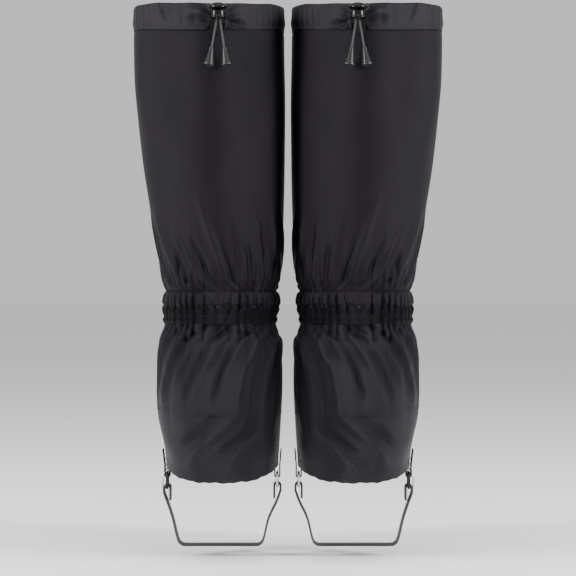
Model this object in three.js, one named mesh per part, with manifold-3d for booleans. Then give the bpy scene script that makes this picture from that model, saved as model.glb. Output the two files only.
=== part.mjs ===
// A pair of calf-length gaiters as worn on boots, without the boots.
// Millimetres, +Z up, +Y towards the toes. The origin is on the ground, midway between the boots.
// One gaiter is modelled for the wearer's left leg in its own frame, with x = 0 on the boot's
// centre line and -x on the outer side of the leg. The right gaiter is its mirror image.
import * as THREE from "three";
import { mergeVertices } from "three/addons/utils/BufferGeometryUtils.js";
import Module from "manifold-3d";

const wasm = await Module();
wasm.setup();

// ---------------------------------------------------------------- driving dimensions
const legSpacing = 132; // between the two boots' centre lines
const gap = 0.3; // between pieces that touch on the real gaiter

// Heights of the panels, one above the other, from the hem round the boot.
const bootHemHeight = 90;
const kickPanelHeight = 53;
const bootPanelHeight = 87;
const ankleBandHeight = 30;
const legPanelHeight = 245;
const topHemHeight = 29;
const kickSeam = bootHemHeight + kickPanelHeight;
const ankleLow = kickSeam + bootPanelHeight;
const ankleHigh = ankleLow + ankleBandHeight;
const topSeam = ankleHigh + legPanelHeight;
const topEdgeHeight = topSeam + topHemHeight;
const calfHalfWidth = 72;

// Sections of the leg tube: ellipses of these half sizes, centred at x and y.
const sections = [
  { name: "boot hem", z: bootHemHeight, halfWidth: 54, halfDepth: 88, x: 1.5, y: 31 },
  { name: "heel", z: bootHemHeight + 17, halfWidth: 55.6, halfDepth: 86, x: 1.2, y: 28 },
  { name: "kick seam", z: kickSeam, halfWidth: 59.2, halfDepth: 76, x: 0, y: 19 },
  { name: "boot bulge", z: kickSeam + 24, halfWidth: 60.4, halfDepth: 72, x: -0.7, y: 15 },
  { name: "boot top", z: ankleLow - 16, halfWidth: 58, halfDepth: 62, x: -0.2, y: 8 },
  { name: "ankle low", z: ankleLow, halfWidth: 52.4, halfDepth: 54, x: 0, y: 4 },
  { name: "ankle high", z: ankleHigh, halfWidth: 52.7, halfDepth: 53.5, x: 1.2, y: 2 },
  { name: "shin", z: ankleHigh + 12, halfWidth: 56, halfDepth: 56, x: 0.7, y: 1 },
  { name: "low calf", z: ankleHigh + 50, halfWidth: 61, halfDepth: 59, x: -0.3, y: -1 },
  { name: "mid calf", z: ankleHigh + 89, halfWidth: 64.8, halfDepth: 61, x: -3.1, y: -2 },
  { name: "high calf", z: topSeam - 79, halfWidth: calfHalfWidth - 1.4, halfDepth: 66, x: -8, y: -2 },
  { name: "top seam", z: topSeam, halfWidth: calfHalfWidth, halfDepth: 66, x: -10.2, y: 0 },
  { name: "top edge", z: topEdgeHeight, halfWidth: calfHalfWidth, halfDepth: 66, x: -10.4, y: 0 },
];
const section = (name) => sections.find((s) => s.name === name);
const hemBackDip = 9; // how far the boot hem drops at the heel
const hemFrontDip = 4; // and over the instep
const topEdgeDip = 4; // how far the top edge drops at the shin and at the calf

const shellSteps = 30; // facets round the leg
const slitHalf = 6; // half the front opening, in degrees
const panel = { inner: -0.6, outer: 0.6 }; // faces of a single fabric panel, from the section
const hem = { inner: -3.4, outer: 1.2 }; // faces of the doubled top hem
const drawcordDiameter = 2;
const tunnelSize = drawcordDiameter + 1.4; // the drawcord's tunnel in the hem, square
const tunnelOffset = -1.1; // the tunnel's centre, from the section
const cordHeight = topSeam + topHemHeight / 2; // where the drawcord runs
const cordBend = 3; // where it turns out of the hem
const cordRouteStep = 5; // degrees between the points that it follows round the leg
const band = { inner: -1.6, outer: 1.6 }; // faces of the ankle tunnel
const elastic = { inner: -0.5, outer: 0.5, height: 22 };

const lockX = 1.2; // the cord lock sits a little to the inside of the calf
const lockBottom = cordHeight - 5.2;
const lockBodyHeight = 6.6;
const lockRadius = 7.4;
const lockFlangeRadius = 7.9;
const lockFlangeHeight = 2;
const lockShoulder = 0.6; // the slope from the flange to the body
const buttonRadius = 8.5;
const buttonHeight = 8.1;
const buttonTravel = 2.5;
const plungerRadius = 2.6;
const plungerLength = 2;
const lockBoreRadius = 3.1;
const lockFloor = 1.2; // under the spring
const springWire = 0.6;
const springTurns = 2; // a conical spring, whose turns nest when the button is pressed
const springTopRadius = 0.8;
const cordFromLockAxis = 5.1; // the two cords pass the lock on its leg side
const cordSpacing = drawcordDiameter + 1.5;
const cordSlot = { width: cordSpacing + drawcordDiameter + 1.5, depth: drawcordDiameter + 0.6 };
const lockToHem = 0.5;

const cordTail = 26; // from the lock to the pull
const tailDrop = 1.4; // a free end starts this far under the lock, where it swings from
const outerTailLean = -9.5; // degrees, towards the outer side of the leg
const innerTailLean = 8.5;
const tailStandOff = 2.8; // how far a pull stands out from the cord's exit
const pullLength = 17.5;
const pullTopRadius = 1.9;
const pullBottomRadius = 5.1;
const pullLipHeight = 2;
const cordInPull = 10;
const pullBoreRadius = drawcordDiameter / 2 + 0.5;

const flap = { from: -20, to: 32, thickness: 1 }; // degrees round the front; the seam is at from
const flapSeamOffset = band.outer + 2 * gap;
const flapFreeOffset = 4;
const flapSplitHeight = ankleLow + 18;
const flapSplitGap = 4; // between the upper and the lower flap
const flapHemGap = 3; // from the boot hem to the lower flap
const flapTopGap = 6; // below the top edge
const tape = { from: 9, to: 28, thickness: 1.2 };
const tapeBottom = ankleHigh + 8;
const tapeTop = topSeam - 5;
const stud = { angle: 20, radius: 4.2, capRadius: 6.5, capHeight: 2.4 };
const topStudHeight = topSeam + 12;
const bottomStudHeight = bootHemHeight + 14;

const strapY = 30; // the strap passes under the boot's arch
const strapWidth = 15.5;
const strapThickness = 2;
const soleClearance = 11; // the strap's underside above the ground
const archHalfWidth = 36; // the strap's flat stretch, under the arch
const barHeight = bootHemHeight - 7; // the bar of each side fitting
const wire = 2.4;
const ringInnerWidth = 16.8;
const ringHeight = 13; // between its two bars
const buckleHeight = 15;
const tabWidth = 9;
const tabPly = 1.3;
const tabBottom = barHeight - wire / 2 - 4.3;
const tabTop = bootHemHeight + 16;
const tabBend = bootHemHeight + 2; // where its two legs turn to follow the cloth
const prongWidth = 1.6;
const prongGap = 1.9; // between the prong and the tab, for the strap to swing
const strapReturn = 12; // the end folded back over each lower bar
const strapDrop = 5; // straight down from the bar before it turns in under the boot
const soleEdge = { reach: 6, z: 18 }; // the strap's corner under the sole, past its flat stretch
const soleSide = { reach: 11, z: 38 }; // and where it follows the sole's side
const bootSide = { inset: 1, drop: 16 }; // and the boot's side, under the bar

const hookWidth = 14;
const hookThickness = 1.6;
const hookReach = 11;
const hookHeight = 16;
const hookRise = 6; // of its free tip, and of the plate above the hem
const hookBend = 2; // where the plate starts to turn

// ---------------------------------------------------------------- materials
const finish = (color, roughness, metalness = 0) =>
  new THREE.MeshStandardMaterial({ color, roughness, metalness });
const laminate = finish(0x35313a, 0.62);
const ballistic = finish(0x29262c, 0.85);
const webbing = finish(0x1b1a1d, 0.9);
const tapeBlack = finish(0x151416, 0.95);
const elasticBlack = finish(0x222024, 0.9);
const cordGrey = finish(0x5c5a60, 0.8);
const pullGrey = finish(0x6b6a6e, 0.5);
const glossBlack = finish(0x0c0c0d, 0.12);
const steel = finish(0x8d8f92, 0.3, 1);
const blackMetal = finish(0x1c1c1e, 0.35, 1);
const strapRubber = finish(0x121213, 0.7);

// ---------------------------------------------------------------- the leg's surface
const radians = THREE.MathUtils.degToRad;

// The section at height z, between the two named ones round it.
function sectionAt(z) {
  let i = 1;
  while (i < sections.length - 1 && sections[i].z < z) i += 1;
  const low = sections[i - 1];
  const high = sections[i];
  const t = (z - low.z) / (high.z - low.z);
  const mix = (key) => THREE.MathUtils.lerp(low[key], high[key], t);
  return { a: mix("halfWidth"), b: mix("halfDepth"), x: mix("x"), y: mix("y") };
}

// A point at an angle from the front, counted towards the outer side, and an offset outwards.
function onLeg(angle, z, offset) {
  const s = sectionAt(z);
  const t = radians(angle);
  return new THREE.Vector3(
    s.x - (s.a + offset) * Math.sin(t),
    s.y + (s.b + offset) * Math.cos(t),
    z,
  );
}

function outwards(angle, z) {
  const along = onLeg(angle + 0.5, z, 0).sub(onLeg(angle - 0.5, z, 0));
  const up = onLeg(angle, z + 1, 0).sub(onLeg(angle, z - 1, 0));
  return along.cross(up).normalize();
}

// The rear face's y at a given x, for what sits on the calf.
function rearY(x, z, offset) {
  const s = sectionAt(z);
  const u = (x - s.x) / (s.a + offset);
  return s.y - (s.b + offset) * Math.sqrt(1 - u * u);
}

const bootHem = (angle) => {
  const c = Math.cos(radians(angle));
  const dip = c < 0 ? hemBackDip : hemFrontDip;
  return section("boot hem").z - dip * (1 - Math.sin(radians(angle)) ** 4);
};
const topEdge = (angle) => section("top edge").z - topEdgeDip * Math.cos(radians(angle)) ** 2;

// ---------------------------------------------------------------- solids
// A strip of cloth wrapped round the leg: a closed solid between two offsets.
// Levels are heights, or functions of the angle; offsets are numbers, or functions of the angle.
function wrap({ from, to, steps, levels, inner, outer }) {
  const value = (v, angle) => (typeof v === "function" ? v(angle) : v);
  const rows = levels.length;
  const position = [];
  for (let i = 0; i <= steps; i += 1) {
    const angle = from + ((to - from) * i) / steps;
    for (const offset of [inner, outer]) {
      for (const level of levels) {
        position.push(...onLeg(angle, value(level, angle), value(offset, angle)));
      }
    }
  }
  const at = (i, side, j) => (i * 2 + side) * rows + j;
  const index = [];
  const quad = (a, b, c, d) => index.push(a, b, c, a, c, d);
  const last = rows - 1;
  for (let i = 0; i < steps; i += 1) {
    for (let j = 0; j < last; j += 1) {
      quad(at(i, 1, j), at(i + 1, 1, j), at(i + 1, 1, j + 1), at(i, 1, j + 1));
      quad(at(i, 0, j), at(i, 0, j + 1), at(i + 1, 0, j + 1), at(i + 1, 0, j));
    }
    quad(at(i, 0, 0), at(i + 1, 0, 0), at(i + 1, 1, 0), at(i, 1, 0));
    quad(at(i, 0, last), at(i, 1, last), at(i + 1, 1, last), at(i + 1, 0, last));
  }
  for (let j = 0; j < last; j += 1) {
    quad(at(0, 0, j), at(0, 1, j), at(0, 1, j + 1), at(0, 0, j + 1));
    quad(at(steps, 0, j), at(steps, 0, j + 1), at(steps, 1, j + 1), at(steps, 1, j));
  }
  const geometry = new THREE.BufferGeometry();
  geometry.setAttribute("position", new THREE.Float32BufferAttribute(position, 3));
  geometry.setIndex(index);
  return geometry;
}

// A whole shell panel, open at the front.
const shell = (levels, faces, slit = slitHalf) =>
  wrap({ from: slit, to: 360 - slit, steps: shellSteps, levels, ...faces });

function toSolid(geometry) {
  const bare = geometry.clone();
  bare.deleteAttribute("normal");
  bare.deleteAttribute("uv");
  const merged = mergeVertices(bare, 1e-4);
  return new wasm.Manifold(
    new wasm.Mesh({
      numProp: 3,
      vertProperties: merged.attributes.position.array,
      triVerts: new Uint32Array(merged.index.array),
    }),
  );
}

function toGeometry(solid) {
  const mesh = solid.getMesh();
  const geometry = new THREE.BufferGeometry();
  geometry.setAttribute("position", new THREE.BufferAttribute(mesh.vertProperties, 3));
  geometry.setIndex(new THREE.BufferAttribute(mesh.triVerts, 1));
  return geometry;
}

// The first geometry with all the others cut out of it.
function cut(first, ...others) {
  return toGeometry(others.reduce((s, other) => s.subtract(toSolid(other)), toSolid(first)));
}

function circle(radius, sides) {
  const shape = new THREE.Shape();
  for (let i = 0; i < sides; i += 1) {
    const t = (2 * Math.PI * i) / sides;
    const go = i ? "lineTo" : "moveTo";
    shape[go](radius * Math.cos(t), radius * Math.sin(t));
  }
  shape.closePath();
  return shape;
}

function tube(points, radius, sides, steps) {
  const path = new THREE.CatmullRomCurve3(points, false, "centripetal");
  return new THREE.ExtrudeGeometry(circle(radius, sides), {
    steps,
    extrudePath: path,
    bevelEnabled: false,
  });
}

// A turned piece about +Z through the given centre. Its profile runs up from the axis.
function turned(profile, x, y, z, sides = 16) {
  const points = profile.map(([r, height]) => new THREE.Vector2(r, height));
  const geometry = new THREE.LatheGeometry(points, sides);
  return geometry.rotateX(Math.PI / 2).translate(x, y, z);
}

function box(width, depth, height, x, y, z) {
  return new THREE.BoxGeometry(width, depth, height).translate(x, y, z);
}

// An outline in the XZ plane, extruded along Y and centred on a given y.
function plate(shape, width, y) {
  const geometry = new THREE.ExtrudeGeometry(shape, {
    depth: width,
    bevelEnabled: false,
    curveSegments: 6,
  });
  return geometry.rotateX(Math.PI / 2).translate(0, y + width / 2, 0);
}

// The outline of a strip that follows a line of points in a plane, with square ends.
function stripOutline(points, thickness) {
  const left = [];
  const right = [];
  points.forEach((p, i) => {
    const before = points[Math.max(i - 1, 0)];
    const after = points[Math.min(i + 1, points.length - 1)];
    const into = p.clone().sub(before).normalize();
    const out = after.clone().sub(p).normalize();
    const along = into.add(out).normalize();
    const turn = i && i < points.length - 1 ? Math.max(along.dot(out), 0.5) : 1;
    const side = new THREE.Vector2(-along.y, along.x).multiplyScalar(thickness / 2 / turn);
    left.push(p.clone().add(side));
    right.unshift(p.clone().sub(side));
  });
  return new THREE.Shape([...left, ...right]);
}

// Points on an arc, from one angle to another, in degrees.
function arc(cx, cy, radius, from, to, steps) {
  return Array.from({ length: steps + 1 }, (_, i) => {
    const t = radians(from + ((to - from) * i) / steps);
    return new THREE.Vector2(cx + radius * Math.cos(t), cy + radius * Math.sin(t));
  });
}

// Moves a piece made along +Z at the origin onto the leg, standing outwards.
function standOn(geometry, angle, z, offset) {
  const turn = new THREE.Quaternion().setFromUnitVectors(
    new THREE.Vector3(0, 0, 1),
    outwards(angle, z),
  );
  const place = onLeg(angle, z, 0).addScaledVector(outwards(angle, z), offset);
  return geometry.applyQuaternion(turn).translate(place.x, place.y, place.z);
}

// ---------------------------------------------------------------- fabric
function legPanel() {
  const low = section("ankle high").z;
  const high = section("top seam").z;
  const between = ["shin", "low calf", "mid calf", "high calf"].map((name) => section(name).z);
  return shell([low + gap, ...between, high - gap], panel);
}

// The square tunnel that the drawcord runs in, open at the front edges of the hem.
function hemTunnel() {
  const half = tunnelSize / 2;
  return shell(
    [cordHeight - half, cordHeight + half],
    { inner: tunnelOffset - half, outer: tunnelOffset + half },
    slitHalf - 1,
  );
}

function topHem() {
  const body = shell([section("top seam").z, topEdge], hem);
  const exitDepth = hem.outer - tunnelOffset + tunnelSize;
  const y = rearY(lockX, cordHeight, tunnelOffset) - exitDepth / 2;
  const exit = box(cordSpacing + 3 * cordBend, exitDepth, tunnelSize, lockX, y, cordHeight);
  return cut(body, hemTunnel(), exit);
}

const ankleHeights = () => [section("ankle low").z, section("ankle high").z];

function ankleBand() {
  const [low, high] = ankleHeights();
  const body = shell([low, high], band);
  const middle = (low + high) / 2;
  const half = elastic.height / 2 + gap;
  const room = shell(
    [middle - half, middle + half],
    { inner: elastic.inner - gap, outer: elastic.outer + gap },
    slitHalf - 1,
  );
  return cut(body, room);
}

function ankleElastic() {
  const [low, high] = ankleHeights();
  const middle = (low + high) / 2;
  const half = elastic.height / 2;
  return shell([middle - half, middle + half], elastic, slitHalf + 1);
}

function bootPanel() {
  const low = section("kick seam").z;
  const high = section("ankle low").z;
  const between = [section("boot bulge").z, section("boot top").z];
  return shell([low + gap, ...between, high - gap], panel);
}

function kickPanel() {
  return shell([bootHem, section("heel").z, section("kick seam").z - gap], panel);
}

// ---------------------------------------------------------------- front closure
// A flap is sewn flat at its seam and stands off the leg over the two tapes.
function flapOffset(angle) {
  const t = (angle - flap.from) / (tape.from - flap.from);
  return THREE.MathUtils.lerp(flapSeamOffset, flapFreeOffset, Math.min(t, 1));
}

const flapPiece = (levels) =>
  wrap({
    from: flap.from,
    to: flap.to,
    steps: 9,
    levels,
    inner: flapOffset,
    outer: (angle) => flapOffset(angle) + flap.thickness,
  });

function upperFlap() {
  const between = ["ankle high", "shin", "low calf", "mid calf", "high calf", "top seam"];
  const heights = between.map((name) => section(name).z);
  return flapPiece([flapSplitHeight + flapSplitGap / 2, ...heights, (angle) => topEdge(angle) - flapTopGap]);
}

function lowerFlap() {
  const between = ["heel", "kick seam", "boot bulge", "boot top", "ankle low"];
  const heights = between.map((name) => section(name).z);
  return flapPiece([
    (angle) => bootHem(angle) + flapHemGap,
    ...heights,
    flapSplitHeight - flapSplitGap / 2,
  ]);
}

function tapePiece(offset) {
  const between = ["shin", "low calf", "mid calf", "high calf"].map((name) => section(name).z);
  const levels = [tapeBottom, ...between, tapeTop];
  const faces = { inner: offset, outer: offset + tape.thickness };
  return wrap({ from: tape.from, to: tape.to, steps: 3, levels, ...faces });
}

const loopTape = () => tapePiece(panel.outer + gap);
const hookTape = () => tapePiece(flapFreeOffset - gap - tape.thickness);

const cap = ([r, h]) => [
  [0, 0],
  [r, 0],
  [r, h * 0.4],
  [r * 0.7, h],
  [0, h],
];

function snapCap(z) {
  const body = turned(cap([stud.capRadius, stud.capHeight]), 0, 0, 0, 14);
  return standOn(body, stud.angle, z, flapFreeOffset + flap.thickness + gap);
}

// The stud stands on the body, under the flap; wallOuter is the face it stands on.
function snapStud(z, wallOuter) {
  const height = flapFreeOffset - wallOuter - 4 * gap;
  const body = turned(cap([stud.radius, height]), 0, 0, 0, 12);
  return standOn(body, stud.angle, z, wallOuter + 2 * gap);
}

// ---------------------------------------------------------------- cord lock and cords
const lockY = rearY(lockX, cordHeight, hem.outer) - lockToHem - buttonRadius;
const cordY = lockY + cordFromLockAxis;

function lockBody() {
  const top = lockBodyHeight;
  const body = turned(
    [
      [0, 0],
      [lockFlangeRadius, 0],
      [lockFlangeRadius, lockFlangeHeight],
      [lockRadius, lockFlangeHeight + lockShoulder],
      [lockRadius, top],
      [lockBoreRadius, top],
      [lockBoreRadius, lockFloor],
      [0, lockFloor],
    ],
    lockX,
    lockY,
    lockBottom,
    20,
  );
  const slot = box(cordSlot.width, cordSlot.depth, 3 * top, lockX, cordY, lockBottom);
  const reach = lockRadius;
  const notchLow = lockBottom + lockFlangeHeight;
  const notchY = cordY + reach / 2;
  const notch = box(cordSlot.width, reach, 2 * top, lockX, notchY, notchLow + top);
  return cut(body, slot, notch);
}

function lockButton() {
  const low = lockBodyHeight + buttonTravel;
  const foot = low - buttonTravel - plungerLength;
  const dome = [0, 20, 40, 60, 75].map((degrees) => {
    const t = radians(degrees);
    return [buttonRadius * Math.cos(t), low + (buttonHeight - buttonTravel) * Math.sin(t)];
  });
  const profile = [[0, foot], [plungerRadius, foot], [plungerRadius, low], ...dome];
  profile.push([0, lockBodyHeight + buttonHeight]);
  return turned(profile, lockX, lockY, lockBottom, 20);
}

function lockSpring() {
  const low = lockFloor + gap + springWire;
  const high = lockBodyHeight - plungerLength - gap - springWire;
  const widest = lockBoreRadius - gap - springWire;
  const points = [];
  for (let i = 0; i <= springTurns * 8; i += 1) {
    const t = (2 * Math.PI * i) / 8;
    const share = i / (springTurns * 8);
    const height = THREE.MathUtils.lerp(low, high, share);
    const radius = THREE.MathUtils.lerp(widest, springTopRadius, share);
    points.push(
      new THREE.Vector3(
        lockX + radius * Math.cos(t),
        lockY + radius * Math.sin(t),
        lockBottom + height,
      ),
    );
  }
  return tube(points, springWire / 2, 5, springTurns * 9);
}

// One half of the drawcord: from the front edge, round one side in the hem's tunnel, out of
// the hem at the back and down into the lock. side is 1 on the outer side of the leg, -1 inside.
function drawcord(side) {
  const x = lockX - (side * cordSpacing) / 2;
  const points = [];
  for (let angle = slitHalf + 4; angle < 180; angle += cordRouteStep) {
    const p = onLeg(side * angle, cordHeight, tunnelOffset);
    if (p.y > 0 || side * (x - p.x) > 2 * cordBend) points.push(p);
  }
  const tunnelY = rearY(x, cordHeight, tunnelOffset);
  const turnX = x - side * cordBend;
  const turnY = rearY(turnX, cordHeight, tunnelOffset);
  points.push(new THREE.Vector3(turnX, turnY, cordHeight));
  points.push(new THREE.Vector3(x - side * cordBend * 0.3, tunnelY - cordBend * 0.3, cordHeight));
  points.push(new THREE.Vector3(x, tunnelY - cordBend, cordHeight));
  points.push(new THREE.Vector3(x, cordY + 0.7, cordHeight - 0.6));
  points.push(new THREE.Vector3(x, cordY, cordHeight - 2.2));
  points.push(new THREE.Vector3(x, cordY, lockBottom + gap));
  return tube(points, drawcordDiameter / 2, 6, 60);
}

// Where a free end leaves the lock, and which way it hangs.
function tailFrame(side) {
  const x = lockX - (side * cordSpacing) / 2;
  const start = new THREE.Vector3(x, cordY, lockBottom - tailDrop);
  const lean = side > 0 ? outerTailLean : innerTailLean;
  const way = new THREE.Vector3(Math.tan(radians(lean)), -tailStandOff / cordTail, -1);
  return { start, way: way.normalize() };
}

function tail(side) {
  const { start, way } = tailFrame(side);
  const points = [0, 4, 9, 14, 20, cordTail, cordTail + cordInPull].map((d) =>
    start.clone().addScaledVector(way, d),
  );
  return tube(points, drawcordDiameter / 2, 8, 9);
}

// A bell with a bore for the cord, and a wide lip at its mouth.
function cordPull(side) {
  const { start, way } = tailFrame(side);
  const lip = pullLength - pullLipHeight;
  const bell = turned(
    [
      [0, 0],
      [pullTopRadius + 0.3, 0],
      [pullTopRadius + 0.5, 3],
      [pullBottomRadius - 0.6, lip - 1],
      [pullBottomRadius, lip],
      [pullBottomRadius, pullLength],
      [0, pullLength],
    ],
    0,
    0,
    0,
    16,
  );
  const depth = cordInPull + gap;
  const bore = new THREE.CylinderGeometry(pullBoreRadius, pullBoreRadius, 2 * depth, 10);
  const geometry = cut(bell, bore.rotateX(Math.PI / 2));
  const turn = new THREE.Quaternion().setFromUnitVectors(new THREE.Vector3(0, 0, 1), way);
  const place = start.clone().addScaledVector(way, cordTail);
  return geometry.applyQuaternion(turn).translate(place.x, place.y, place.z);
}

// ---------------------------------------------------------------- side fittings and strap
// The x of the boot hem's cloth beside the strap, on the outer (-1) or the inner (1) side.
function hemX(side) {
  const s = section("boot hem");
  const u = (strapY - s.y) / s.halfDepth;
  return s.x + side * s.halfWidth * Math.sqrt(1 - u * u);
}

// How far what turns on a square bar stays from its middle.
const barReach = wire * Math.SQRT1_2 + gap;

// A webbing tab folded round the hem, with the fitting's bar in its fold.
function webbingTab(side) {
  const x = hemX(side);
  const hemSection = section("boot hem");
  const widening = side * (sectionAt(tabTop).a - hemSection.halfWidth);
  const shift = widening + sectionAt(tabTop).x - hemSection.x;
  const half = wire / 2 + 2 * gap + tabPly / 2;
  const fold = arc(x, tabBottom + half + tabPly / 2, half, 180, 360, 8);
  const line = [
    new THREE.Vector2(x - half + shift, tabTop),
    new THREE.Vector2(x - half, tabBend),
    ...fold,
    new THREE.Vector2(x + half, tabBend),
    new THREE.Vector2(x + half + shift, tabTop),
  ];
  return plate(stripOutline(line, tabPly), tabWidth, strapY);
}

// A rectangular ring of wire in the YZ plane: bars along Y, joined by two sides.
function ring(side, height) {
  const x = hemX(side);
  const outerHalf = ringInnerWidth / 2 + wire;
  const innerHalf = ringInnerWidth / 2;
  const outline = new THREE.Shape();
  outline.moveTo(-outerHalf, -height - wire / 2);
  outline.lineTo(outerHalf, -height - wire / 2);
  outline.lineTo(outerHalf, wire / 2);
  outline.lineTo(-outerHalf, wire / 2);
  const hole = new THREE.Path();
  hole.moveTo(-innerHalf, -height + wire / 2);
  hole.lineTo(-innerHalf, -wire / 2);
  hole.lineTo(innerHalf, -wire / 2);
  hole.lineTo(innerHalf, -height + wire / 2);
  outline.holes.push(hole);
  const geometry = new THREE.ExtrudeGeometry(outline, { depth: wire, bevelEnabled: false });
  return geometry
    .rotateX(Math.PI / 2)
    .rotateZ(Math.PI / 2)
    .translate(x - wire / 2, strapY, barHeight);
}

const innerRing = () => ring(1, ringHeight);
const buckleFrame = () => ring(-1, buckleHeight);

// The prong hangs from the frame's upper bar, outside the strap, and rests on the lower bar.
function buckleProng() {
  const x = hemX(-1);
  const eye = barReach + prongWidth / 2;
  const reach = barReach + strapThickness + gap + prongWidth / 2;
  const tip = barHeight - buckleHeight - wire;
  const line = [
    ...arc(x, barHeight, eye, -20, 160, 8),
    new THREE.Vector2(x - reach, barHeight - strapDrop),
    new THREE.Vector2(x - reach, tip),
  ];
  const y = strapY + (tabWidth + prongWidth) / 2 + prongGap;
  return plate(stripOutline(line, prongWidth), prongWidth, y);
}

// The strap goes up outside each lower bar, over it, and back down on the boot's side.
function underfootStrap() {
  const fold = barReach + strapThickness / 2;
  const low = soleClearance + strapThickness / 2;
  const outerBar = barHeight - buckleHeight;
  const innerBar = barHeight - ringHeight;
  const left = hemX(-1);
  const right = hemX(1);
  const line = [
    new THREE.Vector2(left + fold, outerBar - strapReturn),
    ...arc(left, outerBar, fold, 0, 180, 8),
    new THREE.Vector2(left - fold, outerBar - strapDrop),
    new THREE.Vector2(left + bootSide.inset, outerBar - bootSide.drop),
    new THREE.Vector2(-archHalfWidth - soleSide.reach, soleSide.z),
    new THREE.Vector2(-archHalfWidth - soleEdge.reach, soleEdge.z),
    new THREE.Vector2(-archHalfWidth, low),
    new THREE.Vector2(archHalfWidth, low),
    new THREE.Vector2(archHalfWidth + soleEdge.reach, soleEdge.z),
    new THREE.Vector2(archHalfWidth + soleSide.reach, soleSide.z),
    new THREE.Vector2(right - bootSide.inset, innerBar - bootSide.drop),
    new THREE.Vector2(right + fold, innerBar - strapDrop),
    ...arc(right, innerBar, fold, 0, 180, 8),
    new THREE.Vector2(right - fold, innerBar - strapReturn),
  ];
  return plate(stripOutline(line, strapThickness), strapWidth, strapY);
}

// ---------------------------------------------------------------- lace hook
// A bent metal hook whose plate lies on the lower flap at the boot hem's front.
function laceHook() {
  const curve = hookReach / 2 - 1;
  const line = [
    new THREE.Vector2(0, hookHeight),
    new THREE.Vector2(0, hookBend),
    ...arc(curve, hookBend / 2, curve, 190, 330, 6),
    new THREE.Vector2(hookReach, hookRise),
  ];
  const outline = stripOutline(line, hookThickness);
  const geometry = new THREE.ExtrudeGeometry(outline, {
    depth: hookWidth,
    bevelEnabled: false,
  });
  const z = bootHem(0) + hookRise;
  const surface = onLeg(0, z, flapOffset(0) + flap.thickness + 1.5 * gap);
  const lean = Math.atan2(
    onLeg(0, z, 0).y - onLeg(0, z + 10, 0).y,
    10,
  );
  geometry.rotateX(Math.PI / 2).translate(0, hookWidth / 2, 0).rotateZ(Math.PI / 2);
  geometry.translate(0, hookThickness / 2, 0).rotateX(lean);
  return geometry.translate(surface.x, surface.y, surface.z);
}

// ---------------------------------------------------------------- one gaiter
function gaiter(leg) {
  const group = new THREE.Group();
  const add = (name, geometry, material) => {
    const mesh = new THREE.Mesh(geometry, material);
    mesh.name = `${leg}_${name}`;
    group.add(mesh);
  };
  add("leg_panel", legPanel(), laminate);
  add("top_hem", topHem(), laminate);
  add("ankle_band", ankleBand(), ballistic);
  add("ankle_elastic", ankleElastic(), elasticBlack);
  add("boot_panel", bootPanel(), ballistic);
  add("kick_panel", kickPanel(), ballistic);
  add("upper_flap", upperFlap(), laminate);
  add("lower_flap", lowerFlap(), ballistic);
  add("loop_tape", loopTape(), tapeBlack);
  add("hook_tape", hookTape(), tapeBlack);
  add("top_snap_cap", snapCap(topStudHeight), blackMetal);
  add("top_snap_stud", snapStud(topStudHeight, hem.outer), blackMetal);
  add("bottom_snap_cap", snapCap(bottomStudHeight), blackMetal);
  add("bottom_snap_stud", snapStud(bottomStudHeight, panel.outer), blackMetal);
  add("lace_hook", laceHook(), steel);
  add("outer_drawcord", drawcord(1), cordGrey);
  add("inner_drawcord", drawcord(-1), cordGrey);
  add("cord_lock_body", lockBody(), glossBlack);
  add("cord_lock_button", lockButton(), glossBlack);
  add("cord_lock_spring", lockSpring(), steel);
  add("outer_cord_end", tail(1), cordGrey);
  add("inner_cord_end", tail(-1), cordGrey);
  add("outer_cord_pull", cordPull(1), pullGrey);
  add("inner_cord_pull", cordPull(-1), pullGrey);
  add("outer_tab", webbingTab(-1), webbing);
  add("inner_tab", webbingTab(1), webbing);
  add("inner_ring", innerRing(), steel);
  add("buckle_frame", buckleFrame(), blackMetal);
  add("buckle_prong", buckleProng(), steel);
  add("underfoot_strap", underfootStrap(), strapRubber);
  return group;
}

const pair = new THREE.Group();
const left = gaiter("left");
left.position.x = -legSpacing / 2;
const right = gaiter("right");
right.position.x = legSpacing / 2;
right.scale.x = -1;
pair.add(left, right);

export default pair;
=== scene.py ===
import math

import bpy
import numpy as np
from mathutils import Matrix, Vector


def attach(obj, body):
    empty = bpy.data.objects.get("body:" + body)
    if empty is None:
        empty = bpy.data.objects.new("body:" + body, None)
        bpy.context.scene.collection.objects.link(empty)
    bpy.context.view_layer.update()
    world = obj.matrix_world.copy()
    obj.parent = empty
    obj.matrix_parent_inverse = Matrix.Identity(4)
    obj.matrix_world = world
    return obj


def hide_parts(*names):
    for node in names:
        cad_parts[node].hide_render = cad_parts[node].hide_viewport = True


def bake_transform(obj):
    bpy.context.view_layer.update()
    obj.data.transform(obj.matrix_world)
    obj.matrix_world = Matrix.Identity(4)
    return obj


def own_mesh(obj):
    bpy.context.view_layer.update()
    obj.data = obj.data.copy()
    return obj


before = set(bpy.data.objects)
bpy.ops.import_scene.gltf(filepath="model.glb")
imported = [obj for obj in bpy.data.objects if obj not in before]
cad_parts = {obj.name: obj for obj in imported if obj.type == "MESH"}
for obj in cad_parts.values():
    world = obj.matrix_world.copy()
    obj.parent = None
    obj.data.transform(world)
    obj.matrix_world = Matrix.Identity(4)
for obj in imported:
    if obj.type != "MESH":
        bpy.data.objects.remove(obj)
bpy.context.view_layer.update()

MM = 0.001
LEG_X = 66.0  # each leg's centre line from the middle, in mm

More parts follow.
